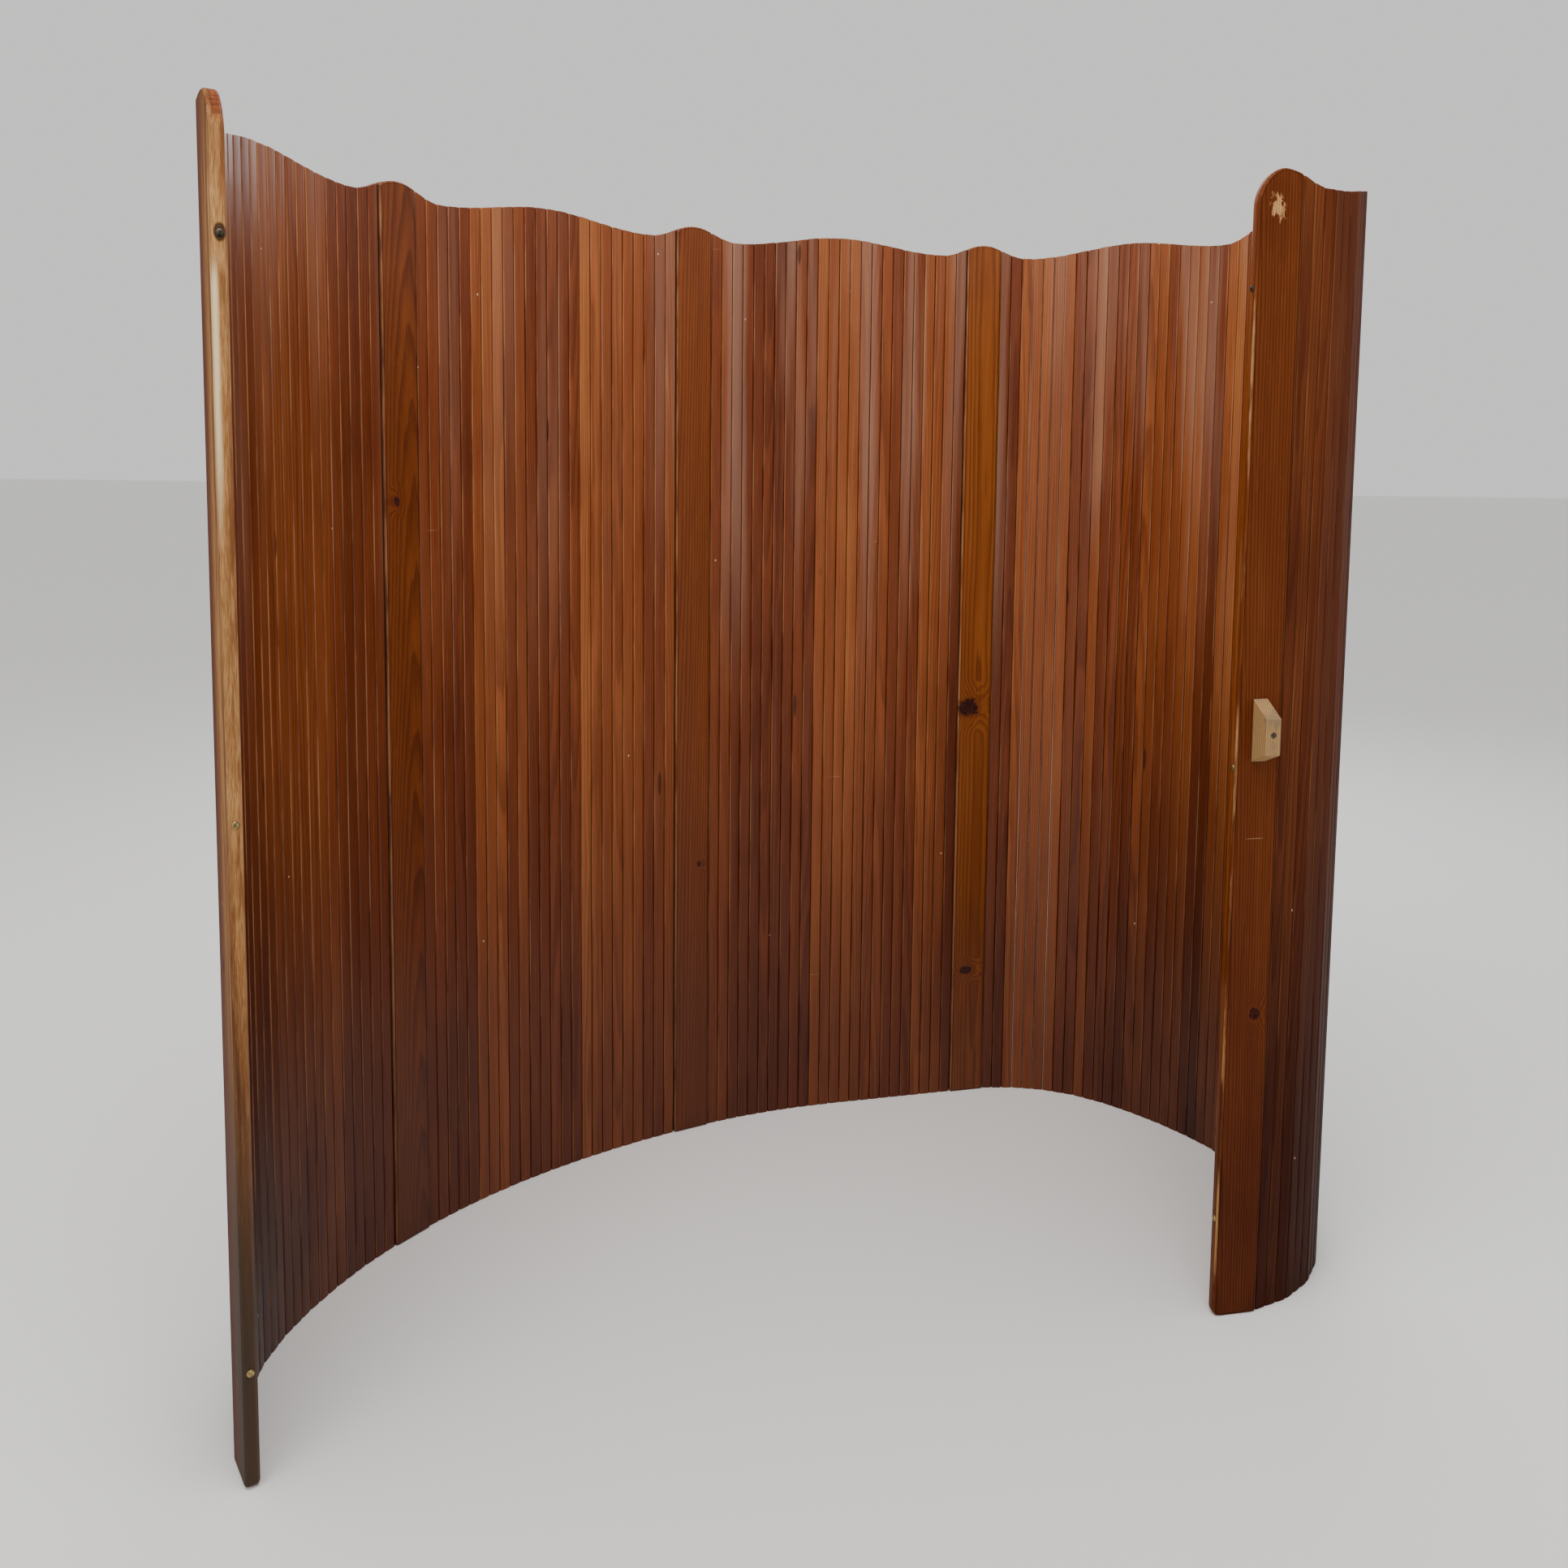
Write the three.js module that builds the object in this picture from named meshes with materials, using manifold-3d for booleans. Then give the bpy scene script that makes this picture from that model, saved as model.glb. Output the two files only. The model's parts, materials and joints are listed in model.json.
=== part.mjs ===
// A free-standing roll-up screen of varnished pine. Six plain boards stand between and beside
// five ribbed panels of narrow upright slats. Every gap is a hinge about an upright line, so
// the screen can stand in any curve. The slats of a panel are built three to a strip.
//
// Units are millimetres. +Z is up, the floor is z = 0, and the origin is under the middle of the
// object's box. The inside of the curve faces -Y. Each member is drawn in its own frame: x along
// the screen from left to right, y towards the outside of the curve, z up.

import * as THREE from 'three';
import { mergeVertices } from 'three/addons/utils/BufferGeometryUtils.js';
import Module from 'manifold-3d';

const wasm = await Module();
wasm.setup();

// ---------------------------------------------------------------- driving dimensions

const SCREEN_HEIGHT = 1700;        // floor to the crest over each board
const WAVE_DEPTH = 22;             // crest to dip of the wavy top edge
const DIP_FROM_BOARD = 85;         // board centre line to the dip beside it

const PANELS = 5;
const SLATS_PER_PANEL = 24;
const SLATS_PER_STRIP = 3;
const SLAT_WIDTH = 20.4;
const SLAT_THICKNESS = 11;
const SLAT_GAP = 0.8;              // between neighbours, at mid thickness
const GROOVE_WIDTH = 3.6;          // the V between two slats of one strip
const GROOVE_DEPTH = 1.8;

const BOARD_WIDTH = 70;
const BOARD_THICKNESS = 18;
const BOARD_FILLET = 3;            // upright edges of every board
const END_TOP_RADIUS = 46;         // free top corner of each end board
const END_BOTTOM_RADIUS = 12;      // free bottom corner of each end board

// Standing curve, seen from above. The heading turns clockwise from left to right.
const FIRST_HEADING = 124.4;       // degrees from +X, along the left end board
const GAP_BENDS = [                // degrees at each gap: left half, right half of a panel
  [10, 5],
  [3.5, 2.5],
  [3.5, 0],
  [11.5, 5],
  [8.5, 15.5],
];

// Three wires thread the whole screen. Their ends are held by pins in the two free edges.
const LOWEST_WIRE = 153;           // above the floor
const TOP_WIRE_BELOW_CREST = 168;
const WIRE_COUNT = 3;
const PIN_HEAD_RADIUS = 5;
const PIN_HEAD_HEIGHT = 2.2;
const PIN_SHANK_RADIUS = 2.6;
const PIN_SHANK_LENGTH = 12;

// A pull block screwed to the outside of the right end board.
const BLOCK_HEIGHT = 899;          // floor to the screw
const BLOCK_WIDTH = 23;
const BLOCK_DEPTH = 40;
const BLOCK_BACK_LENGTH = 92;      // upright length against the board
const BLOCK_TOP_TAPER = 22;        // what the front face loses at its top
const BLOCK_BOTTOM_TAPER = 16;     // and at its bottom
const BLOCK_EDGE = 1;              // small bevel round the block
const SCREW_HEAD_RADIUS = 4.2;
const SCREW_HEAD_HEIGHT = 2.6;
const SCREW_SHANK_RADIUS = 2;
const SCREW_REACH = 9;             // length of shank in the board
const SCREW_SLOT_WIDTH = 1.2;
const SCREW_SLOT_DEPTH = 1;

const FIT = 0.35;                  // clearance between touching pieces

// Fineness of the round forms.
const NOSE_STEPS = 4;              // quarter round at a strip's end
const FILLET_STEPS = 3;            // quarter round along a board's edge
const CORNER_STEPS = 9;            // round top corner of an end board
const FACE_STATIONS = [0.35, 0.6, 0.8];  // shares of the way from a board's edge to its middle
const DOME_STEPS = 4;              // profile of a pin's head
const BORE_SEGMENTS = 16;          // round pins, shanks and holes
const HEAD_SEGMENTS = 20;          // the screw's head and its seat

const PINE = { color: 0x6b3016, roughness: 0.42, metalness: 0 };
const BOARD_PINE = { color: 0x7d3a17, roughness: 0.4, metalness: 0 };
const RAW_PINE = { color: 0xc9a878, roughness: 0.8, metalness: 0 };
const BRASS = { color: 0x9a7b45, roughness: 0.45, metalness: 1 };
const STEEL = { color: 0x6f6a62, roughness: 0.5, metalness: 1 };

// ---------------------------------------------------------------- derived sizes

const SLAT_PITCH = SLAT_WIDTH + SLAT_GAP;
const STRIPS_PER_PANEL = SLATS_PER_PANEL / SLATS_PER_STRIP;
const GAPS_PER_PANEL = STRIPS_PER_PANEL + 1;
const BAY = BOARD_WIDTH + SLAT_GAP + SLATS_PER_PANEL * SLAT_PITCH;
const TOP_WIRE = SCREEN_HEIGHT - TOP_WIRE_BELOW_CREST;

const radians = THREE.MathUtils.degToRad;

function material(name, look) {
  return new THREE.MeshStandardMaterial({ name, ...look });
}

// ---------------------------------------------------------------- outlines

// Height of the top edge at a distance s along the screen from the first board's centre line.
// Each bay runs from a crest on the board, through a dip, to a wide crest in mid panel.
function topEdge(s) {
  const alongBay = THREE.MathUtils.euclideanModulo(s, BAY);
  const fromBoard = Math.min(alongBay, BAY - alongBay);
  const rise = fromBoard < DIP_FROM_BOARD
    ? Math.cos(Math.PI * fromBoard / DIP_FROM_BOARD)
    : -Math.cos(Math.PI * (fromBoard - DIP_FROM_BOARD) / (BAY / 2 - DIP_FROM_BOARD));
  return SCREEN_HEIGHT - WAVE_DEPTH * (1 - rise) / 2;
}

// What a round corner of the given radius takes off at a distance from the edge.
function cornerDrop(radius, distance) {
  const inset = Math.max(radius - distance, 0);
  return radius - Math.sqrt(radius * radius - inset * inset);
}

// Stations across a quarter round that starts at zero: close together where it is steep.
function quarterRound(radius, steps) {
  return Array.from({ length: steps + 1 }, (_, i) => radius * (1 - Math.cos(i * Math.PI / 2 / steps)));
}

// One upright member from stations { x, half, low, high } in order of x: half is half of the
// thickness there, and the member runs from low to high. A station of no thickness is one line.
function uprightMember(stations) {
  const positions = [];
  const corners = stations.map(({ x, half, low, high }) => {
    const add = (y, z) => positions.push(x, y, z) / 3 - 1;
    const inLow = add(-half, low);
    const inHigh = add(-half, high);
    const outLow = half > 0 ? add(half, low) : inLow;
    const outHigh = half > 0 ? add(half, high) : inHigh;
    return { inLow, inHigh, outLow, outHigh };
  });
  const triangles = [];
  const quad = (a, b, c, d) => {
    for (const [p, q, r] of [[a, b, c], [a, c, d]]) {
      if (p !== q && q !== r && r !== p) {
        triangles.push(p, q, r);
      }
    }
  };
  for (let i = 1; i < corners.length; i++) {
    const here = corners[i - 1];
    const next = corners[i];
    quad(here.inLow, next.inLow, next.inHigh, here.inHigh);
    quad(next.outLow, here.outLow, here.outHigh, next.outHigh);
    quad(here.inHigh, next.inHigh, next.outHigh, here.outHigh);
    quad(here.outLow, next.outLow, next.inLow, here.inLow);
  }
  const first = corners[0];
  const last = corners[corners.length - 1];
  quad(first.outLow, first.inLow, first.inHigh, first.outHigh);
  quad(last.inLow, last.outLow, last.outHigh, last.inHigh);
  const geometry = new THREE.BufferGeometry();
  geometry.setAttribute('position', new THREE.Float32BufferAttribute(positions, 3));
  geometry.setIndex(triangles);
  return geometry;
}

// ---------------------------------------------------------------- boolean helpers

function toSolid(geometry) {
  const bare = geometry.clone();
  bare.deleteAttribute('normal');
  bare.deleteAttribute('uv');
  const merged = mergeVertices(bare);
  return new wasm.Manifold(new wasm.Mesh({
    numProp: 3,
    vertProperties: new Float32Array(merged.attributes.position.array),
    triVerts: new Uint32Array(merged.index.array),
  }));
}

function toGeometry(solid) {
  const mesh = solid.getMesh();
  const geometry = new THREE.BufferGeometry();
  geometry.setAttribute('position', new THREE.BufferAttribute(mesh.vertProperties, 3));
  geometry.setIndex(new THREE.BufferAttribute(mesh.triVerts, 1));
  return geometry;
}

// ---------------------------------------------------------------- members

// Three slats side by side: round noses at the two hinge lines and a V groove between slats.
function stripGeometry(centre) {
  const nose = SLAT_THICKNESS / 2;
  const halfLength = (SLATS_PER_STRIP * SLAT_PITCH - SLAT_GAP) / 2;
  const thickness = [];
  for (const d of quarterRound(nose, NOSE_STEPS)) {
    thickness.push([-halfLength + d, nose - cornerDrop(nose, d)]);
  }
  for (let i = 1; i < SLATS_PER_STRIP; i++) {
    const groove = (i - SLATS_PER_STRIP / 2) * SLAT_PITCH;
    thickness.push([groove - GROOVE_WIDTH / 2, nose]);
    thickness.push([groove, nose - GROOVE_DEPTH]);
    thickness.push([groove + GROOVE_WIDTH / 2, nose]);
  }
  for (const d of quarterRound(nose, NOSE_STEPS).reverse()) {
    thickness.push([halfLength - d, nose - cornerDrop(nose, d)]);
  }
  return uprightMember(thickness.map(([x, half]) => ({
    x,
    half,
    low: 0,
    high: topEdge(centre + x),
  })));
}

// Stations of half a board, as distances in from one of its upright edges.
function halfBoardStations(isFree) {
  const fillet = quarterRound(BOARD_FILLET, FILLET_STEPS);
  const middle = BOARD_WIDTH / 2;
  const corner = quarterRound(END_TOP_RADIUS, CORNER_STEPS);
  const face = isFree
    ? corner.filter((d) => d > BOARD_FILLET && d < middle)
    : FACE_STATIONS.map((share) => share * middle);
  return [...fillet, ...face];
}

// A plain board. freeSide is -1 for the left end board, 1 for the right one, 0 for the others.
function boardGeometry(centre, freeSide) {
  const edge = BOARD_WIDTH / 2;
  const half = BOARD_THICKNESS / 2;
  const left = halfBoardStations(freeSide < 0).map((d) => d - edge);
  const right = halfBoardStations(freeSide > 0).map((d) => edge - d).reverse();
  return uprightMember([...left, 0, ...right].map((x) => {
    const fromEdge = edge - Math.abs(x);
    const fromFree = freeSide === 0 ? Infinity : edge - freeSide * x;
    const isRounded = fromFree < END_TOP_RADIUS;
    return {
      x,
      half: half - cornerDrop(BOARD_FILLET, fromEdge),
      low: isRounded ? cornerDrop(END_BOTTOM_RADIUS, fromFree) : 0,
      high: topEdge(centre + x) - (isRounded ? cornerDrop(END_TOP_RADIUS, fromFree) : 0),
    };
  }));
}

function wireHeights() {
  const step = (TOP_WIRE - LOWEST_WIRE) / (WIRE_COUNT - 1);
  return Array.from({ length: WIRE_COUNT }, (_, i) => LOWEST_WIRE + i * step);
}

// A turned pin that holds a wire's end: a low dome on a shank. Its axis is +Z, and the dome
// stands on z = 0 with the shank below.
function pinGeometry() {
  const profile = [
    new THREE.Vector2(0, -PIN_SHANK_LENGTH),
    new THREE.Vector2(PIN_SHANK_RADIUS, -PIN_SHANK_LENGTH),
    new THREE.Vector2(PIN_SHANK_RADIUS, 0),
  ];
  for (let i = 0; i <= DOME_STEPS; i++) {
    const angle = i * Math.PI / 2 / DOME_STEPS;
    const radius = i === DOME_STEPS ? 0 : PIN_HEAD_RADIUS * Math.cos(angle);
    profile.push(new THREE.Vector2(radius, PIN_HEAD_HEIGHT * Math.sin(angle)));
  }
  return new THREE.LatheGeometry(profile, BORE_SEGMENTS).rotateX(Math.PI / 2);
}

// The hole that the pin's shank sits in, from just outside the free edge inwards.
function pinHole(freeSide, height) {
  const radius = PIN_SHANK_RADIUS + FIT;
  const depth = PIN_SHANK_LENGTH + FIT;
  const hole = new THREE.CylinderGeometry(radius, radius, 2 * depth, BORE_SEGMENTS);
  hole.rotateZ(Math.PI / 2);
  hole.translate(freeSide * BOARD_WIDTH / 2, 0, height);
  return toSolid(hole);
}

// The screw's hole in the right end board, open on the outside face.
function screwHole() {
  const radius = SCREW_SHANK_RADIUS + FIT;
  const depth = SCREW_REACH + FIT;
  const hole = new THREE.CylinderGeometry(radius, radius, 2 * depth, BORE_SEGMENTS);
  hole.translate(0, BOARD_THICKNESS / 2, BLOCK_HEIGHT);
  return toSolid(hole);
}

function endBoardGeometry(centre, freeSide) {
  let board = toSolid(boardGeometry(centre, freeSide));
  for (const height of wireHeights()) {
    board = board.subtract(pinHole(freeSide, height));
  }
  if (freeSide > 0) {
    board = board.subtract(screwHole());
  }
  return toGeometry(board);
}

// ---------------------------------------------------------------- pull block and its screw

// Drawn in the board's frame: y = 0 is the block's back, z = 0 is the screw's height.
function blockGeometry() {
  const back = BLOCK_BACK_LENGTH / 2 - BLOCK_EDGE;
  const front = BLOCK_DEPTH - BLOCK_EDGE;
  const side = new THREE.Shape();
  side.moveTo(BLOCK_EDGE, -back);
  side.lineTo(front, -back + BLOCK_BOTTOM_TAPER);
  side.lineTo(front, back - BLOCK_TOP_TAPER);
  side.lineTo(BLOCK_EDGE, back);
  side.closePath();
  const block = new THREE.ExtrudeGeometry(side, {
    depth: BLOCK_WIDTH - 2 * BLOCK_EDGE,
    bevelEnabled: true,
    bevelThickness: BLOCK_EDGE,
    bevelSize: BLOCK_EDGE,
    bevelSegments: 1,
  });
  block.translate(0, 0, BLOCK_EDGE - BLOCK_WIDTH / 2);
  block.rotateX(Math.PI / 2);
  block.rotateZ(Math.PI / 2);
  const boreRadius = SCREW_SHANK_RADIUS + FIT;
  const bore = new THREE.CylinderGeometry(boreRadius, boreRadius, 2 * BLOCK_DEPTH, BORE_SEGMENTS);
  bore.translate(0, BLOCK_DEPTH / 2, 0);
  const seatRadius = SCREW_HEAD_RADIUS + FIT;
  const seatDepth = SCREW_HEAD_HEIGHT + FIT;
  const seat = new THREE.CylinderGeometry(seatRadius, seatRadius, 2 * seatDepth, HEAD_SEGMENTS);
  seat.translate(0, BLOCK_DEPTH, 0);
  return toGeometry(toSolid(block).subtract(toSolid(bore)).subtract(toSolid(seat)));
}

// A slotted screw along y, its head's face at the block's front face.
function screwGeometry() {
  const tip = -FIT - SCREW_REACH;
  const taper = SCREW_SHANK_RADIUS;
  const seat = BLOCK_DEPTH - SCREW_HEAD_HEIGHT;
  const body = new THREE.LatheGeometry([
    new THREE.Vector2(0, tip),
    new THREE.Vector2(SCREW_SHANK_RADIUS, tip + taper),
    new THREE.Vector2(SCREW_SHANK_RADIUS, seat),
    new THREE.Vector2(SCREW_HEAD_RADIUS, seat + SCREW_HEAD_HEIGHT / 2),
    new THREE.Vector2(SCREW_HEAD_RADIUS, BLOCK_DEPTH),
    new THREE.Vector2(0, BLOCK_DEPTH),
  ], HEAD_SEGMENTS);
  const slotLength = 3 * SCREW_HEAD_RADIUS;
  const slot = new THREE.BoxGeometry(SCREW_SLOT_WIDTH, 2 * SCREW_SLOT_DEPTH, slotLength);
  slot.translate(0, BLOCK_DEPTH, 0);
  return toGeometry(toSolid(body).subtract(toSolid(slot)));
}

// ---------------------------------------------------------------- assembly

function gapBend(panel, gap) {
  const [leftHalf, rightHalf] = GAP_BENDS[panel];
  const middle = (GAPS_PER_PANEL - 1) / 2;
  if (gap === middle) {
    return (leftHalf + rightHalf) / 2;
  }
  return gap < middle ? leftHalf : rightHalf;
}

// Every member from left to right: its name, its run along the screen with half a gap at each
// hinge, and the bend at the hinge on its right.
function memberList() {
  const end = BOARD_WIDTH + SLAT_GAP / 2;
  const members = [{ name: 'left_end_board', kind: 'board', side: -1, run: end, bend: gapBend(0, 0) }];
  for (let panel = 0; panel < PANELS; panel++) {
    for (let strip = 0; strip < STRIPS_PER_PANEL; strip++) {
      members.push({
        name: `panel_${panel + 1}_strip_${strip + 1}`,
        kind: 'strip',
        side: 0,
        run: SLATS_PER_STRIP * SLAT_PITCH,
        bend: gapBend(panel, strip + 1),
      });
    }
    const isLast = panel === PANELS - 1;
    members.push({
      name: isLast ? 'right_end_board' : `board_${panel + 1}`,
      kind: 'board',
      side: isLast ? 1 : 0,
      run: isLast ? end : BOARD_WIDTH + SLAT_GAP,
      bend: isLast ? 0 : gapBend(panel + 1, 0),
    });
  }
  return members;
}

// From a member's left limit to its centre. A free edge has no gap beside it.
function centreOf({ side, run }) {
  if (side === 0) {
    return run / 2;
  }
  return side < 0 ? BOARD_WIDTH / 2 : run - BOARD_WIDTH / 2;
}

function memberGeometry({ kind, side }, centre) {
  if (kind === 'strip') {
    return stripGeometry(centre);
  }
  return side === 0 ? boardGeometry(centre, 0) : endBoardGeometry(centre, side);
}

// The pins of one free edge, in the board's frame.
function addPins(frame, freeSide, sideName) {
  wireHeights().forEach((height, i) => {
    const pin = new THREE.Mesh(pinGeometry(), material('pin_brass', BRASS));
    pin.name = `${sideName}_wire_pin_${i + 1}`;
    pin.rotation.y = freeSide * Math.PI / 2;
    pin.position.set(freeSide * (BOARD_WIDTH / 2 + FIT), 0, height);
    frame.add(pin);
  });
}

function addPullBlock(frame) {
  const holder = new THREE.Group();
  holder.position.set(0, BOARD_THICKNESS / 2 + FIT, BLOCK_HEIGHT);
  const block = new THREE.Mesh(blockGeometry(), material('block_raw_pine', RAW_PINE));
  block.name = 'pull_block';
  const screw = new THREE.Mesh(screwGeometry(), material('screw_steel', STEEL));
  screw.name = 'pull_block_screw';
  holder.add(block, screw);
  frame.add(holder);
}

const screen = new THREE.Group();
const hinge = new THREE.Vector2(0, 0);
let heading = FIRST_HEADING;
let along = -BOARD_WIDTH / 2;

for (const member of memberList()) {
  const angle = radians(heading);
  const direction = new THREE.Vector2(Math.cos(angle), Math.sin(angle));
  const toCentre = centreOf(member);
  const centre = hinge.clone().addScaledVector(direction, toCentre);
  const frame = new THREE.Group();
  frame.position.set(centre.x, centre.y, 0);
  frame.rotation.z = angle;
  const look = member.kind === 'strip' ? material('slat_pine', PINE) : material('board_pine', BOARD_PINE);
  const mesh = new THREE.Mesh(memberGeometry(member, along + toCentre), look);
  mesh.name = member.name;
  frame.add(mesh);
  if (member.side !== 0) {
    addPins(frame, member.side, member.side < 0 ? 'left' : 'right');
  }
  if (member.side > 0) {
    addPullBlock(frame);
  }
  screen.add(frame);
  hinge.addScaledVector(direction, member.run);
  along += member.run;
  heading -= member.bend;
}

// The origin goes under the middle of the whole object's box.
screen.updateMatrixWorld(true);
const box = new THREE.Box3().setFromObject(screen, true);
const middle = box.getCenter(new THREE.Vector3());
screen.position.set(-middle.x, -middle.y, 0);
screen.updateMatrixWorld(true);

export default screen;
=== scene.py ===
"""Looks of a roll-up screen of varnished pine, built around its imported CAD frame.

Each strip of the frame is three slats. Here every slat is its own closed form with rounded
edges, its own tone and its own grain. The boards are plates with rounded arrises, knots and
wear. Lengths are in metres in the frame's axes: +Z is up, and the inside of the curve faces -Y.
In a member's own frame x runs along the screen from left to right and y points outwards.
"""

import json
import math
import random

import bpy
import numpy as np
from mathutils import Matrix, Vector

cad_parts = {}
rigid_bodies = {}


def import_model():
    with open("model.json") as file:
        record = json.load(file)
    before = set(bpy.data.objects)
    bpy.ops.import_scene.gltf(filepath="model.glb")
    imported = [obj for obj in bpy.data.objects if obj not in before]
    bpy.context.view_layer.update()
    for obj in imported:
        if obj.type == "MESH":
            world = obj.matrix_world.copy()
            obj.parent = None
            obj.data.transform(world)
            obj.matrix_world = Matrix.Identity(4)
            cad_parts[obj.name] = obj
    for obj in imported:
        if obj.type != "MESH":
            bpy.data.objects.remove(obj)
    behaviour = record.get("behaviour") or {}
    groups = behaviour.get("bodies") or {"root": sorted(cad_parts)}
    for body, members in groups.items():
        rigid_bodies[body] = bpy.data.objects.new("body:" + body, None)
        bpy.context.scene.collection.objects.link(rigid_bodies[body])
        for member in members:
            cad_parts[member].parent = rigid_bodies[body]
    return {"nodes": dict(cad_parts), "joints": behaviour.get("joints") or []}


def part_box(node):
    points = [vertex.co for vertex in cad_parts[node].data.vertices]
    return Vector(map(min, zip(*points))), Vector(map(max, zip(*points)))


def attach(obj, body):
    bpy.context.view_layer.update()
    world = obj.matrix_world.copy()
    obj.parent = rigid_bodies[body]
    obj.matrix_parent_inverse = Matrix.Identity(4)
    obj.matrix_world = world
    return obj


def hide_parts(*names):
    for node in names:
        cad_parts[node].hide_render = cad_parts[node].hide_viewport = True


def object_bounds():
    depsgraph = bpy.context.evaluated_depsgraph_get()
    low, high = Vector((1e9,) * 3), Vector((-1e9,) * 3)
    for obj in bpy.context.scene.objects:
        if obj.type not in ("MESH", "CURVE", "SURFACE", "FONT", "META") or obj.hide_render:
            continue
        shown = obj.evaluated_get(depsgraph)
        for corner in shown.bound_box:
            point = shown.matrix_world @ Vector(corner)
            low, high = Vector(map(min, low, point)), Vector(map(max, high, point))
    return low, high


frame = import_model()
cad_low, cad_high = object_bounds()

MM = 0.001

# ---------------------------------------------------------------- sizes

PANELS = 5
STRIPS = 8                       # in each panel
SLATS = 3                        # in each strip
SLAT_THICKNESS = 11 * MM
SLAT_GAP = 0.8 * MM
BOARD_THICKNESS = 18 * MM
WAVE_DEPTH = 22 * MM             # crest to dip of the top edge
DIP_FROM_BOARD = 85 * MM
END_TOP_RADIUS = 46 * MM         # free top corner of an end board
END_BOTTOM_RADIUS = 12 * MM
WIRE_COUNT = 3

SLAT_EDGE = 2.5 * MM             # how far in the rounding of its upright edges reaches
SLAT_TIP = 1.1 * MM              # rounding of its two ends
SLAT_CROWN = 0.3 * MM            # how far its faces bulge
SLAT_BOW = 0.2 * MM              # how far it may bow along its length, kept inside its thickness
SNUG_GAP = 0.08 * MM             # between the slats of one strip
BENDING_GAP = 0.36 * MM          # between two strips
BOARD_EDGE = 4.0 * MM            # rounding round a board
BOARD_CORNER = 4.4 * MM          # a board's corners beside a hinge
WIRE_RADIUS = 0.7 * MM
WIRE_STUB = 1.5 * MM             # how far a wire runs into the wood on each side of a groove
BLOCK_EASE = 0.9 * MM            # easing of the pull block's edges
METAL_EASE = 0.25 * MM

SLAT_RINGS = 3.1 * MM            # from one growth ring to the next
BOARD_RINGS = 4.2 * MM
BLOCK_RINGS = 2.6 * MM

HEIGHT = cad_high.z

# How finely the forms are drawn.
SLAT_EDGE_STEPS = 7
SLAT_TIP_STEPS = 3
FACE_POINTS = (-0.92, -0.6, -0.25, 0.25, 0.6, 0.92)  # across the flat of a slat, whose ends are -1 and 1
LENGTH_POINTS = (0.03, 0.12, 0.27, 0.42, 0.57, 0.72, 0.87, 0.96)  # shares of a slat's height
BOARD_EDGE_STEPS = 5
BOARD_FOOT_STEPS = 4
BOARD_SIDE_STEPS = 12
BOARD_TOP_STEPS = 10
BIG_CORNER_STEPS = 14
SMALL_CORNER_STEPS = 6
BIG_CORNER = 20 * MM             # a corner with a larger radius than this has more steps
WIRE_SIDES = 10

# Starts of the random draws.
TONE_SEED = 41
SLAT_SEED = 900
BOARD_SEED = 70

# ---------------------------------------------------------------- members of the frame

MEMBERS = ["left_end_board"]
for panel in range(1, PANELS + 1):
    MEMBERS += [f"panel_{panel}_strip_{strip}" for strip in range(1, STRIPS + 1)]
    MEMBERS.append(f"board_{panel}" if panel < PANELS else "right_end_board")
PLACE = {name: i for i, name in enumerate(MEMBERS)}


def gap_of(joint):
    """Place of a hinge along the screen."""
    return min(PLACE[joint["parent"]], PLACE[joint["child"]])


HINGES = [Vector(j["pos_m"][:2]) for j in sorted(frame["joints"], key=gap_of)]


def free_edge(node, hinge):
    """Middle of an end board's free edge, seen from above."""
    same = 0.02 * MM
    points = {(round(v.co.x, 6), round(v.co.y, 6)) for v in frame["nodes"][node].data.vertices}
    reach = [(Vector(p) - hinge).length for p in points]
    far = [Vector(p) for p, d in zip(points, reach) if d > max(reach) - same]
    return sum(far, Vector((0, 0))) / len(far)


def stand(name):
    """Centre, heading and run of a member, seen from above. The run ends at its hinges."""
    i = PLACE[name]
    left = HINGES[i - 1] if i > 0 else free_edge(name, HINGES[0])
    right = HINGES[i] if i < len(HINGES) else free_edge(name, HINGES[-1])
    along = (right - left).normalized()
    if i == 0:
        right = right - along * SLAT_GAP / 2
    if i == len(HINGES):
        left = left + along * SLAT_GAP / 2
    return (left + right) / 2, along, (right - left).length


STAND = {name: stand(name) for name in MEMBERS}
BOARD_WIDTH = STAND["left_end_board"][2]
STRIP_RUN = STAND["panel_1_strip_1"][2]
SLAT_PITCH = STRIP_RUN / SLATS
BAY = BOARD_WIDTH + SLAT_GAP + STRIPS * STRIP_RUN


def along_screen(name):
    """Distance of a member's centre along the screen from the first board's centre line."""
    i = PLACE[name]
    bay, step = divmod(i, STRIPS + 1)
    if step == 0:
        return bay * BAY
    return bay * BAY + (BOARD_WIDTH + SLAT_GAP) / 2 + (step - 0.5) * STRIP_RUN


def top_edge(s):
    """Height of the wavy top at a distance s along the screen."""
    along = s % BAY
    from_board = min(along, BAY - along)
    if from_board < DIP_FROM_BOARD:
        rise = math.cos(math.pi * from_board / DIP_FROM_BOARD)
    else:
        rise = -math.cos(math.pi * (from_board - DIP_FROM_BOARD) / (BAY / 2 - DIP_FROM_BOARD))
    return HEIGHT - WAVE_DEPTH * (1 - rise) / 2


def world_of(name):
    """From a member's own frame to the world."""
    centre, along, _ = STAND[name]
    turn = Matrix.Rotation(math.atan2(along.y, along.x), 4, "Z")
    return Matrix.Translation((centre.x, centre.y, 0)) @ turn


def wire_heights():
    """Heights of the wires, from the pins in the left free edge."""
    heights = []
    for i in range(1, WIRE_COUNT + 1):
        low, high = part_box(f"left_wire_pin_{i}")
        heights.append((low.z + high.z) / 2)
    return heights


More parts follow.
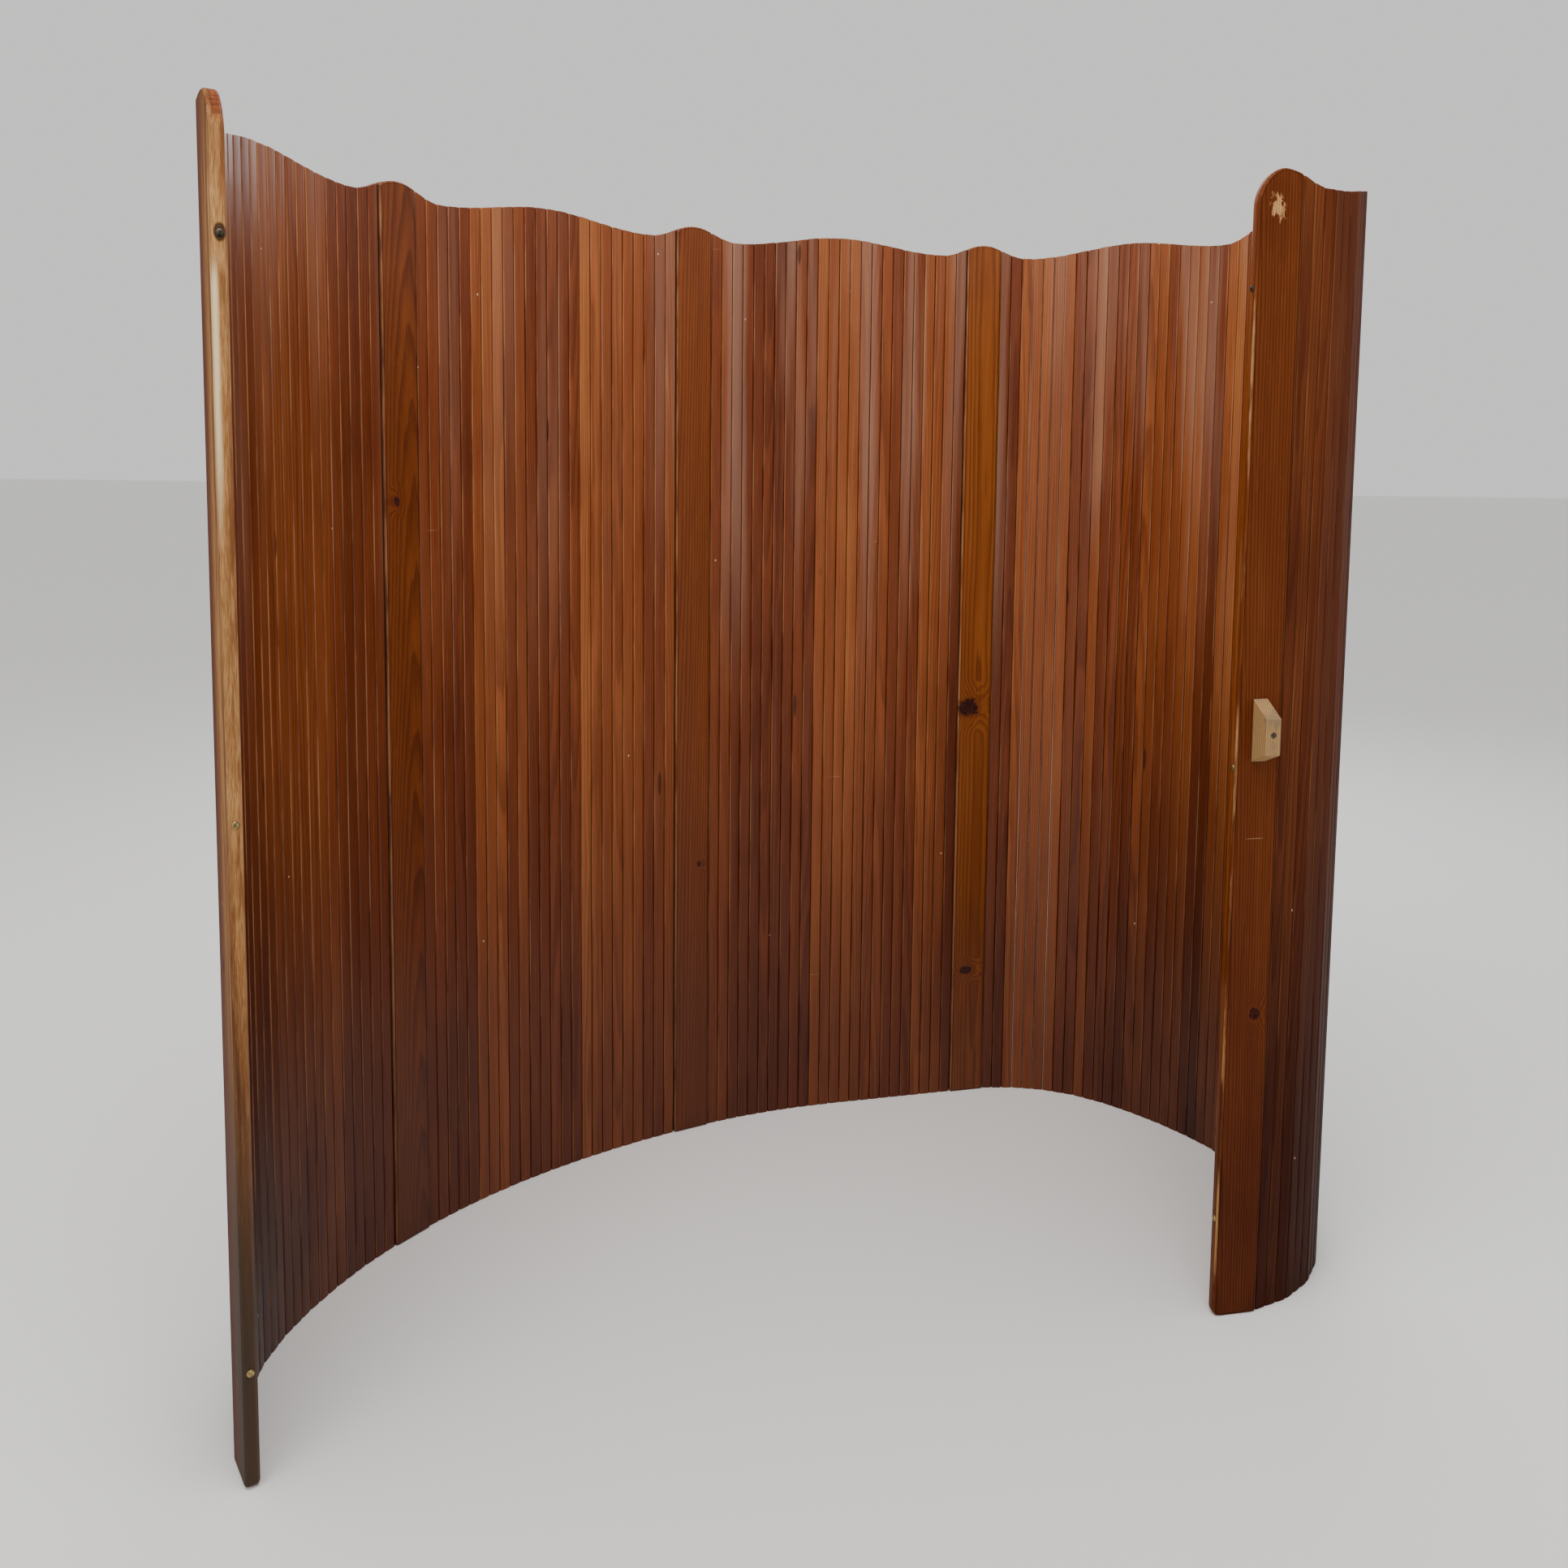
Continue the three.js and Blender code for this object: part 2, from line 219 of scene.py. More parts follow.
# ---------------------------------------------------------------- timber

INSIDE, OUTSIDE, WIRE = 0, 1, 2  # material slots of a piece


class Timber:
    """Where a piece was cut from its log, so that every face shows the same growth rings."""

    def __init__(self, seed, tone, near=0.03, far=0.09, tilt=0.012):
        rng = random.Random(seed)
        turn = rng.uniform(0, 2 * math.pi)
        self.turn = (math.cos(turn), math.sin(turn))
        pith = rng.uniform(near, far)
        way = rng.uniform(0, 2 * math.pi)
        self.pith = (pith * math.cos(way), pith * math.sin(way))
        self.tilt = (rng.uniform(-tilt, tilt), rng.uniform(-tilt, tilt))
        self.lift = rng.uniform(0, 40)
        self.tone = tone

    def __call__(self, x, y, z):
        c, s = self.turn
        return (
            x * c - y * s + self.pith[0] + self.tilt[0] * (z - HEIGHT / 2),
            x * s + y * c + self.pith[1] + self.tilt[1] * (z - HEIGHT / 2),
            z + self.lift,
        )


class Form:
    """A mesh under construction, with what its materials read at each point."""

    def __init__(self):
        self.points, self.faces, self.slots = [], [], []
        self.grain, self.place, self.tone, self.gap, self.arris = [], [], [], [], []

    def point(self, at, grain=(0, 0, 0), place=(0, 0, 0), tone=0.5, gap=0.0, arris=0.0):
        self.points.append(at)
        self.grain.append(grain)
        self.place.append(place)
        self.tone.append(tone)
        self.gap.append(gap)
        self.arris.append(arris)
        return len(self.points) - 1

    def face(self, corners, slot=0):
        self.faces.append(tuple(corners))
        self.slots.append(slot)

    def band(self, low, high, slot=0):
        """Quads between two rings of the same length."""
        for i in range(len(low)):
            k = (i + 1) % len(low)
            self.face((low[i], low[k], high[k], high[i]), slot)

    def build(self, name, materials, world):
        mesh = bpy.data.meshes.new(name)
        mesh.from_pydata(self.points, [], self.faces)
        for kind, label, values in (
            ("FLOAT_VECTOR", "grain", self.grain),
            ("FLOAT_VECTOR", "place", self.place),
            ("FLOAT", "tone", self.tone),
            ("FLOAT", "gap", self.gap),
            ("FLOAT", "arris", self.arris),
        ):
            layer = mesh.attributes.new(label, kind, "POINT")
            flat = np.array(values, np.float32).ravel()
            layer.data.foreach_set("vector" if kind == "FLOAT_VECTOR" else "value", flat)
        for material in materials:
            mesh.materials.append(material)
        mesh.polygons.foreach_set("material_index", self.slots)
        mesh.polygons.foreach_set("use_smooth", [True] * len(self.faces))
        mesh.transform(world)
        mesh.update()
        piece = bpy.data.objects.new(name, mesh)
        bpy.context.scene.collection.objects.link(piece)
        weighted = piece.modifiers.new("even_shading", "WEIGHTED_NORMAL")
        weighted.weight = 100
        return piece


def quarter(radius, steps):
    """Points of a quarter round as (along, drop), from the face to the side."""
    turn = [i * math.pi / 2 / steps for i in range(steps + 1)]
    return [(radius * math.sin(a), radius * (1 - math.cos(a))) for a in turn]


# ---------------------------------------------------------------- slats


def slat_ring(left, right):
    """Outline of a slat between two sides, from above, as (x, y, gap, arris), anticlockwise."""
    thick = SLAT_THICKNESS / 2 - SLAT_BOW
    start = thick - SLAT_CROWN
    middle, flat = (left + right) / 2, (right - left) / 2 - SLAT_EDGE
    back = []
    for along, drop in reversed(quarter(SLAT_EDGE, SLAT_EDGE_STEPS)):
        back.append((-1, along, drop))
    back += [(0, share, 0) for share in FACE_POINTS]
    for along, drop in quarter(SLAT_EDGE, SLAT_EDGE_STEPS):
        back.append((1, along, drop))
    outside = []
    for side, along, drop in back:
        if side == 0:
            outside.append((middle + along * flat, thick - SLAT_CROWN * along * along, 0.0, 0.0))
            continue
        share = along / SLAT_EDGE
        x = middle + side * (flat + along)
        y = start * (1 - drop / SLAT_EDGE)
        # Mask along the arris for worn polish with a painted highlight.
        rub_and_glint = math.exp(-((share - 0.42) / 0.2) ** 2)
        # share ** 8 grows towards the side that faces the groove; it is the gap mask that carries the
        # painted groove shade.
        outside.append((x, y, share ** 8, rub_and_glint))
    inside = [(x, -y, gap, rub_and_glint) for x, y, gap, rub_and_glint in outside[1:-1]]
    return inside_first(inside, outside)


def inside_first(inside, outside):
    """Anticlockwise from the left nose: the inside face to the right, then the outside face back."""
    return [outside[0], *inside, outside[-1], *reversed(outside[1:-1])]


def add_slat(form, x0, left, right, s0, timber, foot, drop, bow):
    """One slat from left to right of x0, its middle at s0 along the screen."""
    half, thick = (right - left) / 2, SLAT_THICKNESS / 2 - SLAT_BOW
    outline = slat_ring(left, right)
    tips = quarter(SLAT_TIP, SLAT_TIP_STEPS)
    low = [("low", foot + dz, SLAT_TIP - along) for along, dz in tips]
    middle = [("share", share, 0.0) for share in LENGTH_POINTS]
    high = [("high", drop + dz, SLAT_TIP - along) for along, dz in reversed(tips)]
    rings = []
    for kind, level, inset in low + middle + high:
        ring = []
        for x, y, gap, arris in outline:
            top = top_edge(s0 + x)
            z = {"low": level, "share": level * top, "high": top - level}[kind]
            px = x * (1 - inset / half)
            py = y * (1 - inset / thick) + bow * math.sin(math.pi * z / HEIGHT)
            at = (x0 + px, py, z)
            ring.append(form.point(at, timber(px, py, z), (s0 + px, py, z), timber.tone, gap, arris))
        rings.append(ring)
    count = len(outline)
    for below, above in zip(rings, rings[1:]):
        for i in range(count):
            k = (i + 1) % count
            slot = INSIDE if i < count // 2 else OUTSIDE
            form.face((below[i], below[k], above[k], above[i]), slot)
    for ring, is_foot in ((rings[0], True), (rings[-1], False)):
        for i in range(count // 2):
            quad = [ring[i], ring[i + 1], ring[(count - 1 - i) % count], ring[(count - i) % count]]
            corners = list(dict.fromkeys(quad))
            form.face(reversed(corners) if is_foot else corners)


def add_wire(form, start, end, height, slot):
    """A closed piece of round wire along x."""
    rings = []
    for x in (start, end):
        ring = []
        for i in range(WIRE_SIDES):
            a = 2 * math.pi * i / WIRE_SIDES
            at = (x, WIRE_RADIUS * math.cos(a), height + WIRE_RADIUS * math.sin(a))
            ring.append(form.point(at, at, at))
        rings.append(ring)
    form.band(rings[0], rings[1], slot)
    form.face(reversed(rings[0]), slot)
    form.face(rings[1], slot)


def slat_tones(rng, count):
    """Tones in runs of a few slats from one plank, with odd slats that are lighter or darker."""
    usual = 0.45
    tones, plank, left = [], usual, 0
    for _ in range(count):
        if left == 0:
            plank = usual + rng.choice((-1, 1)) * rng.uniform(0.04, 0.26)
            left = rng.randint(2, 5)
        left -= 1
        odd = rng.choice((-0.18, 0.2, 0.14)) if rng.random() < 0.12 else 0
        tones.append(min(max(plank + odd + rng.uniform(-0.06, 0.06), 0.0), 1.0))
    return tones


def build_strips(materials, heights):
    """The slats of every strip, with the wires that show in the grooves between them."""
    rng = random.Random(TONE_SEED)
    tones = slat_tones(rng, PANELS * STRIPS * SLATS)
    number = 0
    for name in MEMBERS:
        if "strip" not in name:
            continue
        form = Form()
        s = along_screen(name)
        first_gap = SLAT_GAP if "board" in MEMBERS[PLACE[name] - 1] else BENDING_GAP
        last_gap = SLAT_GAP if "board" in MEMBERS[PLACE[name] + 1] else BENDING_GAP
        for i in range(SLATS):
            x0 = (i - (SLATS - 1) / 2) * SLAT_PITCH
            timber = Timber(SLAT_SEED + number, tones[number])
            foot = rng.uniform(0, 0.5) * MM
            drop = rng.uniform(0.05, 0.7) * MM
            bow = rng.uniform(-1, 1) * SLAT_BOW
            left = -SLAT_PITCH / 2 + (first_gap if i == 0 else SNUG_GAP) / 2
            right = SLAT_PITCH / 2 - (last_gap if i == SLATS - 1 else SNUG_GAP) / 2
            add_slat(form, x0, left, right, s + x0, timber, foot, drop, bow)
            number += 1
        half = STRIP_RUN / 2 - BENDING_GAP / 2
        for height in heights:
            edges = [-half, -half + WIRE_STUB]
            for i in range(1, SLATS):
                groove = (i - SLATS / 2) * SLAT_PITCH
                edges += [groove - WIRE_STUB, groove + WIRE_STUB]
            edges += [half - WIRE_STUB, half]
            for start, end in zip(edges[::2], edges[1::2]):
                add_wire(form, start, end, height, WIRE)
        piece = form.build(name + "_slats", materials, world_of(name))
        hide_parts(name)
        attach(piece, name)


# ---------------------------------------------------------------- boards


def board_outline(s, free):
    """Outline of a board from the side as (x, z, outward x, outward z), anticlockwise from -Y.
    free is -1 or 1 at the side that is an end of the screen, and 0 for an inner board."""
    half = BOARD_WIDTH / 2
    radii = {
        ("low", -1): END_BOTTOM_RADIUS if free < 0 else BOARD_CORNER,
        ("low", 1): END_BOTTOM_RADIUS if free > 0 else BOARD_CORNER,
        ("high", -1): END_TOP_RADIUS if free < 0 else BOARD_CORNER,
        ("high", 1): END_TOP_RADIUS if free > 0 else BOARD_CORNER,
    }
    points = []

    def corner(level, side, first_angle):
        radius = radii[level, side]
        steps = BIG_CORNER_STEPS if radius > BIG_CORNER else SMALL_CORNER_STEPS
        cx = side * (half - radius)
        for i in range(steps + 1):
            a = math.radians(first_angle + 90 * i / steps)
            nx, nz = math.cos(a), math.sin(a)
            x = cx + radius * nx
            if level == "low":
                points.append((x, radius + radius * nz, nx, nz))
            else:
                points.append((x, top_edge(s + x) - radius + radius * nz, nx, nz))

    def run(x0, z0, x1, z1, nx, nz, steps):
        for i in range(1, steps):
            t = i / steps
            points.append((x0 + (x1 - x0) * t, z0 + (z1 - z0) * t, nx, nz))

    corner("low", -1, 180)
    left = -half + radii["low", -1]
    right = half - radii["low", 1]
    run(left, 0, right, 0, 0, -1, BOARD_FOOT_STEPS)
    corner("low", 1, 270)
    high = top_edge(s + half) - radii["high", 1]
    run(half, radii["low", 1], half, high, 1, 0, BOARD_SIDE_STEPS)
    corner("high", 1, 0)
    x1, x0 = half - radii["high", 1], -half + radii["high", -1]
    for i in range(1, BOARD_TOP_STEPS):
        x = x1 + (x0 - x1) * i / BOARD_TOP_STEPS
        points.append((x, top_edge(s + x), 0, 1))
    corner("high", -1, 90)
    high = top_edge(s - half) - radii["high", -1]
    run(-half, high, -half, radii["low", -1], -1, 0, BOARD_SIDE_STEPS)
    return points


def add_board(form, s, free, timber):
    """A plate with rounded arrises, its middle at s along the screen."""
    half = BOARD_THICKNESS / 2
    outline = board_outline(s, free)
    rim = quarter(BOARD_EDGE, BOARD_EDGE_STEPS)
    levels = [(-half + drop, BOARD_EDGE - along) for along, drop in rim]
    levels += [(half - drop, BOARD_EDGE - along) for along, drop in reversed(rim)]
    rings = []
    for y, inset in levels:
        ring = []
        for x, z, nx, nz in outline:
            px, pz = x - nx * inset, z - nz * inset
            # Mask along the arris for worn polish with a painted highlight.
            rub_and_glint = math.exp(-((inset / BOARD_EDGE - 0.35) / 0.3) ** 2)
            # The hinge sides get the gap mask, which carries the painted groove shade.
            hinge_side = free == 0 or nx * free < 0
            side = abs(nx) * (1 - inset / BOARD_EDGE) if hinge_side else 0.0
            at = (px, y, pz)
            ring.append(form.point(at, timber(*at), at, timber.tone, side ** 5, rub_and_glint))
        rings.append(ring)
    for i, (low, high) in enumerate(zip(rings, rings[1:])):
        form.band(low, high, INSIDE if i < len(rim) - 1 else OUTSIDE)
    form.face(rings[0], INSIDE)
    form.face(reversed(rings[-1]), OUTSIDE)


# ---------------------------------------------------------------- material nodes


class Graph:
    """A material's node tree, with short calls for the nodes that the finishes use."""

    def __init__(self, name):
        self.material = bpy.data.materials.new(name)
        self.material.use_nodes = True
        self.tree = self.material.node_tree
        self.tree.nodes.clear()
        self.output = self.tree.nodes.new("ShaderNodeOutputMaterial")
        self.shader = self.tree.nodes.new("ShaderNodeBsdfPrincipled")
        self.tree.links.new(self.shader.outputs[0], self.output.inputs["Surface"])

    def put(self, socket, value):
        if isinstance(value, bpy.types.NodeSocket):
            self.tree.links.new(value, socket)
        elif isinstance(value, tuple) and len(value) == 3 and socket.type == "RGBA":
            socket.default_value = (*value, 1)
        else:
            socket.default_value = value

    def attribute(self, name, output):
        node = self.tree.nodes.new("ShaderNodeAttribute")
        node.attribute_name = name
        return node.outputs[output]

    def math(self, operation, a, b=0.0, c=0.0, clamp=False):
        node = self.tree.nodes.new("ShaderNodeMath")
        node.operation = operation
        node.use_clamp = clamp
        for socket, value in zip(node.inputs, (a, b, c)):
            self.put(socket, value)
        return node.outputs[0]

    def times(self, a, b):
        return self.math("MULTIPLY", a, b)

    def plus(self, value, amount, base, clamp=False):
        """base and an amount of value."""
        return self.math("MULTIPLY_ADD", value, amount, base, clamp)

    def swing(self, noise, amount, base, clamp=False):
        """base, moved up and down by a noise that is 0.5 on average."""
        return self.plus(self.math("SUBTRACT", noise, 0.5), amount, base, clamp)

    def away(self, value, middle, size):
        """How many sizes a value is away from the middle."""
        return self.math("DIVIDE", self.math("SUBTRACT", value, middle), size)

    def length(self, a, b):
        """Length of a flat vector."""
        return self.math("SQRT", self.math("ADD", self.times(a, a), self.times(b, b)))

    def split(self, vector):
        node = self.tree.nodes.new("ShaderNodeSeparateXYZ")
        self.put(node.inputs[0], vector)
        return node.outputs

    def join(self, x, y, z):
        node = self.tree.nodes.new("ShaderNodeCombineXYZ")
        for socket, value in zip(node.inputs, (x, y, z)):
            self.put(socket, value)
        return node.outputs[0]

    def scaled(self, vector, x, y, z, turn=(0, 0, 0)):
        node = self.tree.nodes.new("ShaderNodeMapping")
        self.put(node.inputs["Vector"], vector)
        node.inputs["Scale"].default_value = (x, y, z)
        node.inputs["Rotation"].default_value = turn
        return node.outputs[0]

    def noise(self, vector, detail=2.0, roughness=0.5):
        node = self.tree.nodes.new("ShaderNodeTexNoise")
        self.put(node.inputs["Vector"], vector)
        node.inputs["Scale"].default_value = 1.0
        node.inputs["Detail"].default_value = detail
        node.inputs["Roughness"].default_value = roughness
        node.inputs["Distortion"].default_value = 0.0
        return node.outputs["Fac"]

    def cells(self, vector):
        """Distance to the nearest scattered point, and that point's random value."""
        node = self.tree.nodes.new("ShaderNodeTexVoronoi")
        self.put(node.inputs["Vector"], vector)
        node.inputs["Scale"].default_value = 1.0
        node.inputs["Randomness"].default_value = 1.0
        return node.outputs["Distance"], self.split(node.outputs["Color"])[0]

    def fade(self, value, low, high, start=0.0, end=1.0):
        """value from low to high becomes start to end, smoothly and held outside."""
        node = self.tree.nodes.new("ShaderNodeMapRange")
        node.interpolation_type = "SMOOTHSTEP"
        for socket, v in zip(node.inputs, (value, low, high, start, end)):
            self.put(socket, v)
        return node.outputs[0]

    def mix(self, factor, a, b, blend="MIX"):
        node = self.tree.nodes.new("ShaderNodeMix")
        node.data_type = "RGBA"
        node.blend_type = blend
        self.put(node.inputs[0], factor)
        self.put(node.inputs[6], a)
        self.put(node.inputs[7], b)
        return node.outputs[2]

    def ramp(self, value, stops):
        node = self.tree.nodes.new("ShaderNodeValToRGB")
        self.put(node.inputs[0], value)
        elements = node.color_ramp.elements
        while len(elements) < len(stops):
            elements.new(0.5)
        for element, (position, colour) in zip(elements, stops):
            element.position = position
            element.color = (*colour, 1)
        return node.outputs[0]

    def bump(self, height, strength, distance):
        node = self.tree.nodes.new("ShaderNodeBump")
        node.inputs["Strength"].default_value = strength
        node.inputs["Distance"].default_value = distance
        self.put(node.inputs["Height"], height)
        return node.outputs[0]

    def finish(self, **sockets):
        """Set or link the shader's sockets, and give the material."""
        for name, value in sockets.items():
            self.put(self.shader.inputs[name.replace("_", " ")], value)
        return self.material


# Varnished wood by its tone, from the darkest pieces to the palest.
SLAT_COLOURS = [
    (0.0, (0.090, 0.017, 0.005)),
    (0.35, (0.160, 0.035, 0.009)),
    (0.65, (0.245, 0.066, 0.017)),
    (1.0, (0.380, 0.130, 0.036)),
]
BOARD_COLOURS = [
    (0.0, (0.100, 0.019, 0.004)),
    (0.5, (0.185, 0.045, 0.007)),
    (1.0, (0.300, 0.090, 0.015)),
]
RAW = (0.54, 0.300, 0.120)
RAW_DIRTY = (0.270, 0.120, 0.040)
# Painted shade for the grooves between slats and at the boards' hinge sides.
GAP_SHADE = (0.040, 0.013, 0.006)
PAINTED_SHEEN = (0.33, 0.185, 0.125)     # painted sheen of reflected light on the varnish
# Painted shade on the outside faces of slats and boards.
OUTSIDE_SLAT_SHADE = (0.48, 0.41, 0.43)   # the outside's share of the inside's colour
OUTSIDE_BOARD_SHADE = (0.68, 0.66, 1.00)


def growth(g, grain, spacing, push=None):
    """Growth rings round the pith: 0 in early wood and 1 in the dark late wood."""
    x, y, _ = g.split(grain)
    sway = g.noise(g.scaled(grain, 16, 16, 1.3), 3.0, 0.5)
    radius = g.swing(sway, 0.016, g.length(x, y))
    if push is not None:
        radius = g.math("ADD", radius, push)
    turn = g.math("FRACT", g.math("DIVIDE", radius, spacing))
    return g.times(g.fade(turn, 0.18, 0.86), g.fade(turn, 0.88, 0.99, 1.0, 0.0))


def knot_masks(g, knots):
    """Masks of the knots' hearts and rims, and how far the knots push the growth rings out."""
    hearts, rims, push = 0.0, 0.0, None
    for x, z, half_width, half_height in knots:
        dx = g.away(g.x, x, half_width)
        dz = g.away(g.z, z, half_height)
        wobble = g.noise(g.scaled(g.place, 70, 70, 110), 3.0)
        reach = g.swing(wobble, 1.1, g.length(dx, dz))
        heart = g.fade(reach, 0.78, 1.02, 1.0, 0.0)
        rim = g.times(g.fade(reach, 0.8, 1.0), g.fade(reach, 1.02, 1.5, 1.0, 0.0))
        bend = g.times(g.fade(reach, 0.5, 3.6, 1.0, 0.0), 0.011)
        hearts = g.math("MAXIMUM", heart, hearts)
        rims = g.math("MAXIMUM", rim, rims)
        push = bend if push is None else g.math("ADD", push, bend)
    return hearts, rims, push


class Varnish(Graph):
    """Varnished pine: what its marks read, and its colour, roughness and height so far.
    place is in the member's own frame, but on a slat its x runs along the whole screen."""

    def __init__(self, name, colours, spacing, knots, board):
        super().__init__(name)
        self.board = board
        self.grain = self.attribute("grain", "Vector")
        self.place = self.attribute("place", "Vector")
        self.gap = self.attribute("gap", "Fac")
        self.arris = self.attribute("arris", "Fac")
        self.x, self.y, self.z = self.split(self.place)
        self.outer = self.fade(self.y, 0.0, 4 * MM)
        self.hearts, self.rims, push = knot_masks(self, knots)
        self.late = growth(self, self.grain, spacing, push)
        self.fine = self.noise(self.scaled(self.grain, 1500, 1500, 16), 3.0, 0.6)
        self.broad = self.noise(self.scaled(self.grain, 380, 380, 4.5), 3.0, 0.55)
        self.smear = self.noise(self.scaled(self.place, 9, 9, 3.2), 4.0, 0.6)
        self.wear = self.noise(self.scaled(self.place, 60, 60, 6), 4.0, 0.65)

        cloud = self.noise(self.scaled(self.grain, 30, 30, 1.7), 3.0, 0.55)
        shade = self.swing(cloud, 0.55, self.attribute("tone", "Fac"))
        shade = self.swing(self.smear, 0.35, shade)
        shade = self.swing(self.broad, 0.5, shade, clamp=True)
        self.colour = self.ramp(shade, colours)

        self.rough = self.swing(self.fine, 0.16, self.plus(self.smear, 0.22, 0.27))
        self.rough = self.plus(self.gap, 0.35, self.rough)
        self.height = self.plus(self.fine, 0.55, self.times(self.late, 0.35))
        self.height = self.plus(self.broad, 1.1, self.height)

    def paint(self, mask, colour):
        """Another colour over the present one."""
        self.colour = self.mix(mask, self.colour, colour)

    def stain(self, mask, share):
        """Only a share of each of red, green and blue is left."""
        self.paint(mask, self.mix(1.0, self.colour, share, "MULTIPLY"))

    def lay_bare(self, mask):
        """Old bare pine, where the varnish is gone."""
        self.paint(mask, self.mix(self.fade(self.fine, 0.35, 0.65), RAW, RAW_DIRTY))
        self.rough = self.plus(mask, 0.35, self.rough, clamp=True)

    def scatter(self, vector, core, edge, least, strength, colour):
        """Marks at those scattered points whose random value is more than least."""
        distance, pick = self.cells(vector)
        mark = self.times(self.fade(distance, core, edge, 1.0, 0.0), self.math("GREATER_THAN", pick, least))
        self.paint(self.times(mark, strength), colour)
        return mark

    def draw_grain(self):
        """Dark late wood, dark streaks and pale fibres."""
        self.stain(self.times(self.late, 0.62 if self.board else 0.5), (0.42, 0.30, 0.24))
        self.paint(self.times(self.fade(self.fine, 0.60, 0.74), 0.30), (0.055, 0.014, 0.004))
        self.paint(self.times(self.fade(self.fine, 0.42, 0.26), 0.18), (0.50, 0.22, 0.075))

    def paint_shade_and_blotches(self):
        """Painted shade, darker towards the bottom and, on the slats, low down at both ends of their run;
        and darker blotches in the varnish.
        """
        # Painted shade, darker towards the bottom.
        low = self.times(self.fade(self.z, 0.95, 0.0), self.fade(self.smear, 0.3, 0.7, 0.55, 0.95))
        self.stain(low, (0.40, 0.32, 0.36))
        if not self.board:
            # Painted shade at both ends of the run of slats, low down.
            left = self.times(self.fade(self.x, 0.66, 0.10), self.fade(self.z, 1.2, 0.1, 0.26, 0.88))
            right = self.times(self.fade(self.x, 1.85, 2.3, 0.0, 0.6), self.fade(self.z, 1.4, 0.1))
            self.stain(self.math("MAXIMUM", left, right), (0.20, 0.11, 0.11))
        blotch = self.fade(self.noise(self.scaled(self.place, 5, 5, 2.1), 3.0, 0.5), 0.56, 0.72)
        self.stain(self.times(blotch, 0.4), (0.55, 0.42, 0.36))

    def part_sides(self):
        """Painted shade makes the outside darker and less yellow. A painted sheen lies in bands on the
        slats' upper inside.
        """
        # Painted shade on the outside faces.
        self.stain(self.outer, OUTSIDE_BOARD_SHADE if self.board else OUTSIDE_SLAT_SHADE)
        if self.board:
            return
        flat = self.join(self.x, 0.0, self.z)
        # Painted sheen of reflected light, in bands on the upper inside of the middle slats.
        sheen_bands = self.fade(self.noise(self.scaled(flat, 15, 15, 0.55), 3.0, 0.6), 0.46, 0.66)
        sheen_bands = self.times(sheen_bands, self.fade(self.z, 0.75, 1.35))
        sheen_bands = self.times(sheen_bands, self.fade(self.y, 0.0, -4 * MM))
        middle = self.times(self.fade(self.x, 0.95, 1.35, 0.35), self.fade(self.x, 2.45, 2.2))
        self.paint(self.times(self.times(sheen_bands, middle), 0.5), PAINTED_SHEEN)

    def rub_and_highlight_arrises(self):
        """Fine pale lines along the rounded edges: polish worn thin, with a painted highlight that is
        stronger higher up and weaker on the outside.
        """
        worn_and_highlit = self.times(self.arris, self.fade(self.wear, 0.40, 0.66))
        worn_and_highlit = self.times(worn_and_highlit, self.plus(self.outer, -0.62, 1.0))
        worn_and_highlit = self.times(worn_and_highlit, self.fade(self.z, 0.1, 0.9, 0.5, 1.0))
        # Pale lines of worn polish and painted highlight along the arrises.
        self.paint(self.times(worn_and_highlit, 0.42 if self.board else 0.5), (0.56, 0.27, 0.115))
        self.rough = self.plus(worn_and_highlit, 0.12, self.rough)

    def add_marks(self):
        """Small pin knots, pale specks and a few long scratches."""
        pins = self.scaled(self.grain, 26, 26, 4.4)
        self.scatter(pins, 0.075, 0.12, 0.80, 0.8, (0.042, 0.010, 0.004))
        specks = self.scaled(self.place, 34, 34, 26)
        self.scatter(specks, 0.035, 0.06, 0.93, 0.75, (0.62, 0.45, 0.32))
        slanted = self.scaled(self.place, 5.0, 5.0, 150, (0, math.radians(-24), 0))
        scratches = self.scatter(slanted, 0.055, 0.09, 0.990, 0.38, (0.60, 0.36, 0.20))
        self.height = self.plus(scratches, -0.6, self.height)

    def add_knots(self):
        """Nearly black hearts with fine rings, in a dark rim."""
        rings = self.noise(self.scaled(self.place, 500, 500, 380), 2.0)
        heart = self.mix(self.fade(rings, 0.35, 0.65), (0.012, 0.003, 0.003), (0.050, 0.010, 0.006))
        self.paint(self.times(self.rims, 0.6), (0.11, 0.022, 0.005))
        self.paint(self.hearts, heart)
        self.height = self.plus(self.hearts, -0.8, self.height)


def varnished(name, colours, spacing, knots=(), own_wear=None, board=False, dull=False):
    """Varnished pine. knots are (x, z, half width, half height). own_wear draws the wear of one
    board. dull is for the outside, which has hardly any shine."""
    g = Varnish(name, colours, spacing, knots, board)
    g.draw_grain()
    g.paint_shade_and_blotches()
    g.part_sides()
    # Painted shade in the grooves, where the gap mask is high.
    g.paint(g.times(g.gap, 0.88), GAP_SHADE)
    g.rub_and_highlight_arrises()
    g.add_marks()
    if knots:
        g.add_knots()
    matt = g.math("MAXIMUM", g.outer, own_wear(g)) if own_wear else g.outer
    return g.finish(
        Base_Color=g.colour,
        Roughness=g.plus(matt, 0.18, g.rough, clamp=True),
        Normal=g.bump(g.height, 0.55, 0.35 * MM),
        Specular_IOR_Level=0.05 if dull else 0.22,
        Coat_Weight=0.0 if dull else 0.04,
        Coat_Roughness=0.16,
    )


